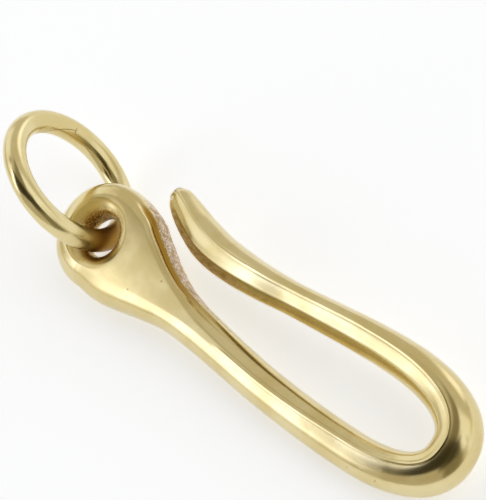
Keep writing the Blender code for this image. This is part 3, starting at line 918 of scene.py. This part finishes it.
def polished_brass_wire():
    """Drawn brass wire, bent round, brazed shut and tumbled bright.

    Drawing leaves fine lines along the wire. The seam shows as a thin wavy line with a square end, and a
    small burr is left on the inside. In the eye the wire is duller and has painted shade: a deeper gold.
    """
    material = bpy.data.materials.new("polished_brass_wire")
    material.use_nodes = True
    tree = material.node_tree
    place = add_node(tree, "ShaderNodeAttribute", attribute_name="ring_place")["Vector"]
    parts = add_node(tree, "ShaderNodeSeparateXYZ", [place])
    turn = add_node(tree, "ShaderNodeMath", [parts["Y"], parts["X"]], operation="ARCTAN2")[0]
    flat = add_node(tree, "ShaderNodeCombineXYZ", {"X": parts["X"], "Y": parts["Y"]})[0]
    from_middle = add_node(tree, "ShaderNodeVectorMath", [flat], operation="LENGTH")["Value"]
    out = add_node(tree, "ShaderNodeMath", [from_middle, RING_RADIUS], operation="SUBTRACT")[0]
    around = add_node(tree, "ShaderNodeMath", [parts["Z"], out], operation="ARCTAN2")[0]
    lengthwise = add_node(tree, "ShaderNodeMath", [turn, RING_RADIUS], operation="MULTIPLY")[0]
    on_wire = add_node(tree, "ShaderNodeCombineXYZ", [out, parts["Z"], lengthwise])[0]

    tone = patches(tree, place, *TONE)
    waves = patches(tree, place, *WIRE_WAVES)
    seam = brazed_seam(tree, turn, around, waves)
    either_way = add_node(tree, "ShaderNodeMath", [turn], operation="ABSOLUTE")[0]
    near_burr = add_node(tree, "ShaderNodeMapRange", [either_way, BURR_TURN * 2, BURR_TURN], **SOFT_STEP)[0]
    inmost = add_node(tree, "ShaderNodeMapRange", [out, *BURR_PLACE], **SOFT_STEP)[0]
    burr = add_node(tree, "ShaderNodeMath", [near_burr, inmost], operation="MULTIPLY")[0]
    shaded_in_eye = add_node(tree, "ShaderNodeMapRange", [either_way, IN_EYE_START, IN_EYE_FULL], **SOFT_STEP)[0]

    deeper = add_node(tree, "ShaderNodeMapRange", [tone, *TONE_FADE], **SOFT_STEP)[0]
    # In the eye the wire is painted deeper gold: painted shade of the bore round it
    coats = [(deeper, srgb("#D8C68D")), (shaded_in_eye, srgb("#9E7B34")), (seam, srgb("#8E7434"))]
    colour = coated(tree, srgb("#E2D3A0"), coats)
    skin = add_node(tree, "ShaderNodeMapRange", [tone, *WHOLE_RANGE, *WIRE_ROUGHNESS], **SOFT_STEP)[0]
    rough = roughened(tree, skin, [(burr, BURR_ROUGHNESS), (shaded_in_eye, IN_EYE_ROUGHNESS)])
    unseamed = add_node(tree, "ShaderNodeMath", [1.0, seam], operation="SUBTRACT")[0]
    grain = patches(tree, place, *SAND_GRAIN)
    burr_grain = add_node(tree, "ShaderNodeMath", [grain, burr], operation="MULTIPLY")[0]
    traces = [
        (waves, WIRE_WAVE_DEPTH),
        (patches(tree, on_wire, *DRAWN_LINES), STREAK_DEPTH),
        (unseamed, SEAM_DEPTH),
        (burr_grain, GRAIN_DEPTH),
    ]
    show_metal(tree, colour, rough, relief(tree, traces))
    return material


# Studio


def matt_white_paper():
    """Paper scatters all light. It also glows a little for the camera and in what the brass mirrors."""
    material = bpy.data.materials.new("matt_white_paper")
    material.use_nodes = True
    tree = material.node_tree
    tree.nodes.clear()
    paper = add_node(tree, "ShaderNodeBsdfDiffuse", {"Color": srgb("#F1F3F7")})[0]
    glow = add_node(tree, "ShaderNodeEmission", {"Color": srgb("#F8FAFF"), "Strength": FLOOR_GLOW})[0]
    none = add_node(tree, "ShaderNodeEmission", {"Color": srgb("#000000")})[0]
    path = add_node(tree, "ShaderNodeLightPath")
    seen = path["Is Camera Ray"]
    for ray in ("Is Glossy Ray", "Is Transmission Ray"):
        seen = add_node(tree, "ShaderNodeMath", [seen, path[ray]], operation="MAXIMUM")[0]
    lift = add_node(tree, "ShaderNodeMixShader", [seen, none, glow])[0]
    surface = add_node(tree, "ShaderNodeAddShader", [paper, lift])[0]
    add_node(tree, "ShaderNodeOutputMaterial", {"Surface": surface})
    return material


def pale_floor():
    """A wide round sheet of paper."""
    mesh = bmesh.new()
    bmesh.ops.create_circle(mesh, cap_ends=True, segments=FLOOR_STEPS, radius=FLOOR_RADIUS)
    data = bpy.data.meshes.new("floor")
    mesh.to_mesh(data)
    mesh.free()
    data.materials.append(matt_white_paper())
    floor = bpy.data.objects.new("floor", data)
    bpy.context.scene.collection.objects.link(floor)


def panel_share(tree, sky, azimuth, elevation, half_width, half_height, tilt, softness):
    """1 on a flat panel, 0 away from it, and between them on its soft border."""
    centre = direction(azimuth, elevation)
    level = direction(azimuth + 90, 0)
    upright = level.cross(centre)
    turn = math.radians(tilt)
    axes = (
        level * math.cos(turn) + upright * math.sin(turn),
        upright * math.cos(turn) - level * math.sin(turn),
    )
    soft = math.sin(math.radians(softness))
    toward = add_node(tree, "ShaderNodeVectorMath", [sky, centre], operation="DOT_PRODUCT")["Value"]
    share = add_node(tree, "ShaderNodeMath", [toward, 0.0], operation="GREATER_THAN")[0]
    for axis, half in zip(axes, (half_width, half_height)):
        aside = add_node(tree, "ShaderNodeVectorMath", [sky, axis], operation="DOT_PRODUCT")["Value"]
        aside = add_node(tree, "ShaderNodeMath", [aside], operation="ABSOLUTE")[0]
        edge = math.sin(math.radians(half))
        inside = add_node(tree, "ShaderNodeMapRange", [aside, edge + soft, edge - soft], **SOFT_STEP)[0]
        share = add_node(tree, "ShaderNodeMath", [share, inside], operation="MULTIPLY")[0]
    return share


def cloth(level):
    """The light of a cloth: cool when it is bright, and warmer the dimmer it is."""
    dim = max(1 - level, 0.0)
    bright = max(level - 1, 0.0)
    green = level * (1 - DIM_GREEN_LOSS * dim + BRIGHT_GREEN_GAIN * bright)
    blue = level * (1 - DIM_BLUE_LOSS * dim + BRIGHT_BLUE_GAIN * bright)
    return (level, green, blue, 1.0)


def studio_walls():
    """A tent of pale cloth with bright panels, and the dim opening where the camera stands."""
    world = bpy.data.worlds.new("studio_walls")
    bpy.context.scene.world = world
    world.use_nodes = True
    tree = world.node_tree
    tree.nodes.clear()
    sky = add_node(tree, "ShaderNodeTexCoord")["Generated"]
    panels = [(panel_share(tree, sky, *panel), cloth(level)) for *panel, level in PANELS]
    colour = coated(tree, cloth(WALL_LEVEL), panels)
    light = add_node(tree, "ShaderNodeBackground", {"Color": colour, "Strength": 1.0})[0]
    add_node(tree, "ShaderNodeOutputWorld", {"Surface": light})


def photo_camera(place):
    """The photograph's camera, from its place in the hook's frame."""
    data = bpy.data.cameras.new("photo_camera")
    data.sensor_width = CAMERA_SENSOR
    data.lens = CAMERA_LENS
    data.clip_start = CAMERA_NEAR
    data.clip_end = CAMERA_FAR
    camera = bpy.data.objects.new("photo_camera", data)
    bpy.context.scene.collection.objects.link(camera)
    right = CAMERA_RIGHT.normalized()
    up = (CAMERA_UP - right * right.dot(CAMERA_UP)).normalized()
    local = Matrix((right, up, right.cross(up))).transposed().to_4x4()
    local.translation = CAMERA_PLACE
    camera.matrix_world = place @ local
    bpy.context.scene.camera = camera


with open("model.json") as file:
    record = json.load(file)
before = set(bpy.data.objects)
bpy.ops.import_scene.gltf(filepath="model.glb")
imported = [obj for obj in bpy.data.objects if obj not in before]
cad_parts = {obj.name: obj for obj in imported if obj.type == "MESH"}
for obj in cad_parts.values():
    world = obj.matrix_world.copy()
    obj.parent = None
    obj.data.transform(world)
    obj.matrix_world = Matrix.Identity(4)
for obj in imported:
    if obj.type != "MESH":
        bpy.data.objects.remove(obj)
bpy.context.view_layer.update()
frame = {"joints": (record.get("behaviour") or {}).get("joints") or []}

swing = frame["joints"][0]
lay = Euler((LAY_ROLL, LAY_PITCH, 0)).to_matrix().to_4x4()
hook_place = Matrix.Translation(swing["pos_m"]) @ lay

hook = hook_piece(hook_place, polished_cast_brass())
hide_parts("hook")
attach(hook, "hook")

ring = ring_piece(hook_place, polished_brass_wire())
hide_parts("ring")
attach(ring, "ring")

pale_floor()
studio_walls()
photo_camera(hook_place)
bpy.context.scene.view_settings.view_transform = "Standard"
